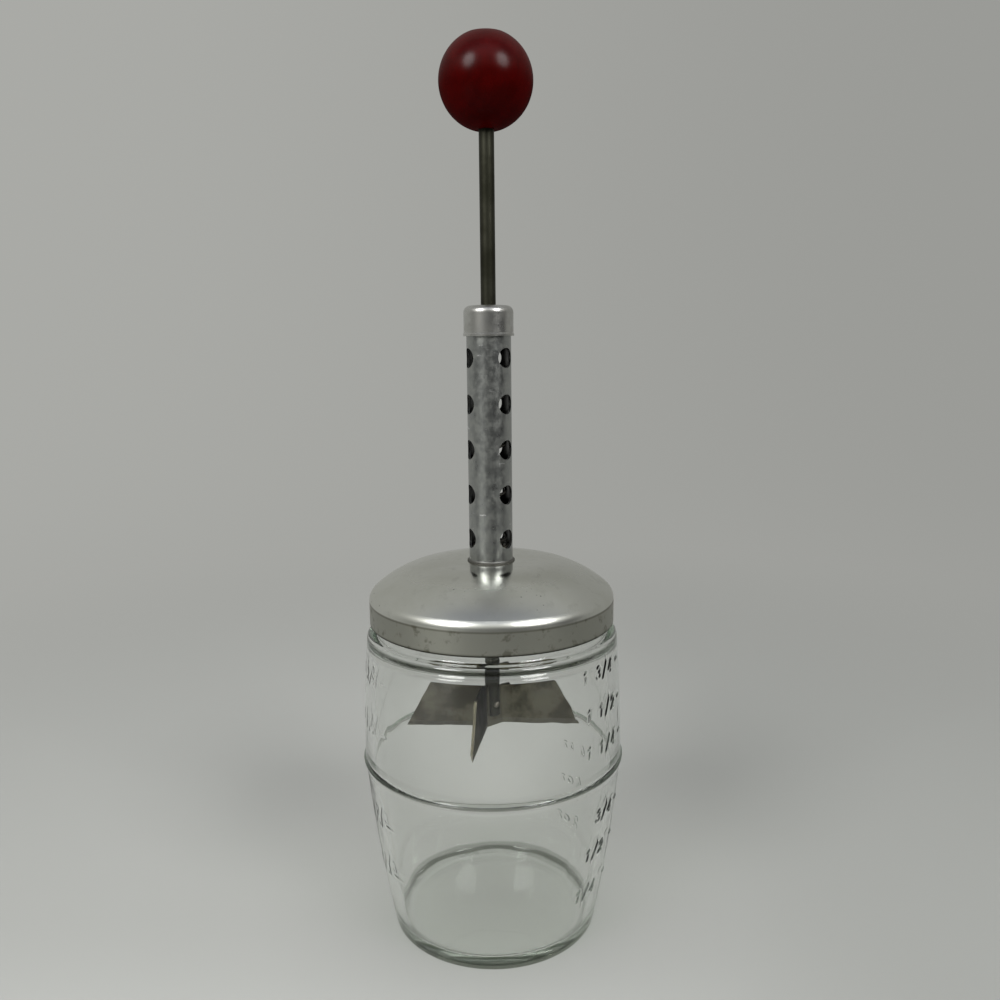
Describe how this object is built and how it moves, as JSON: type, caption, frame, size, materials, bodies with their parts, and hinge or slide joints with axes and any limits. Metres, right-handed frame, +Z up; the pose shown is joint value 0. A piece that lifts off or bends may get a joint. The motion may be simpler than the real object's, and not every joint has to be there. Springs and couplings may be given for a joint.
{
  "type": "nut chopper",
  "caption": "Spring-return nut chopper: a graduated glass jar, a domed screw lid with a perforated spring tube, and a ball-topped plunger with a winged cutting blade.",
  "frame": {"origin": "centre of the jar's foot, on the surface it stands on", "axes": "+Z up along the plunger, -Y towards the front as pictured, +X to its right"},
  "size_m": [0.088, 0.088, 0.2882],
  "materials": {
    "jar_glass": "clear pressed glass with a faint green tint",
    "lid_sheet": "satin spun aluminium, lightly stained and pitted",
    "tube_metal": "drawn aluminium tube, scuffed lengthwise",
    "cap_metal": "bright drawn aluminium",
    "steel": "dull oiled steel",
    "spring_steel": "dark spring wire",
    "blade_steel": "stained tool steel with ground edges",
    "knob_red": "turned wood under glossy dark red lacquer"
  },
  "bodies": {
    "jar": {"glass_jar": "jar_glass"},
    "spring_seat": {"seat_washer": "steel", "return_spring": "spring_steel"},
    "lid": {"screw_lid": "lid_sheet", "guide_ferrule": "cap_metal", "spring_tube": "tube_metal", "tube_cap": "cap_metal"},
    "spring_follower": {"follower_washer": "steel"},
    "plunger": {"plunger_rod": "steel", "stop_pin": "steel", "knob": "knob_red", "blade_front_right": "blade_steel", "blade_back_left": "blade_steel", "blade_rivet": "steel"}
  },
  "joints": [
    {"name": "lid_lift", "type": "slide", "parent": "jar", "child": "spring_seat", "axis": [0, 0, 1], "range_m": [0, 0.00423]},
    {"name": "lid_turn", "type": "hinge", "parent": "spring_seat", "child": "lid", "pos_m": [0, 0, 0.11], "axis": [0, 0, 1], "range_deg": [0, 300]},
    {"name": "plunge", "type": "slide", "parent": "spring_seat", "child": "spring_follower", "axis": [0, 0, -1], "range_m": [0, 0.0527], "stiffness_N_per_m": 700, "springref_m": -0.01, "deforming": ["return_spring"]},
    {"name": "plunger_spin", "type": "hinge", "parent": "spring_follower", "child": "plunger", "pos_m": [0, 0, 0.2], "axis": [0, 0, 1], "continuous": true}
  ],
  "couplings": [
    {"joint": "lid_turn", "follows": "lid_lift", "rad_per_m": 1236.8}
  ]
}
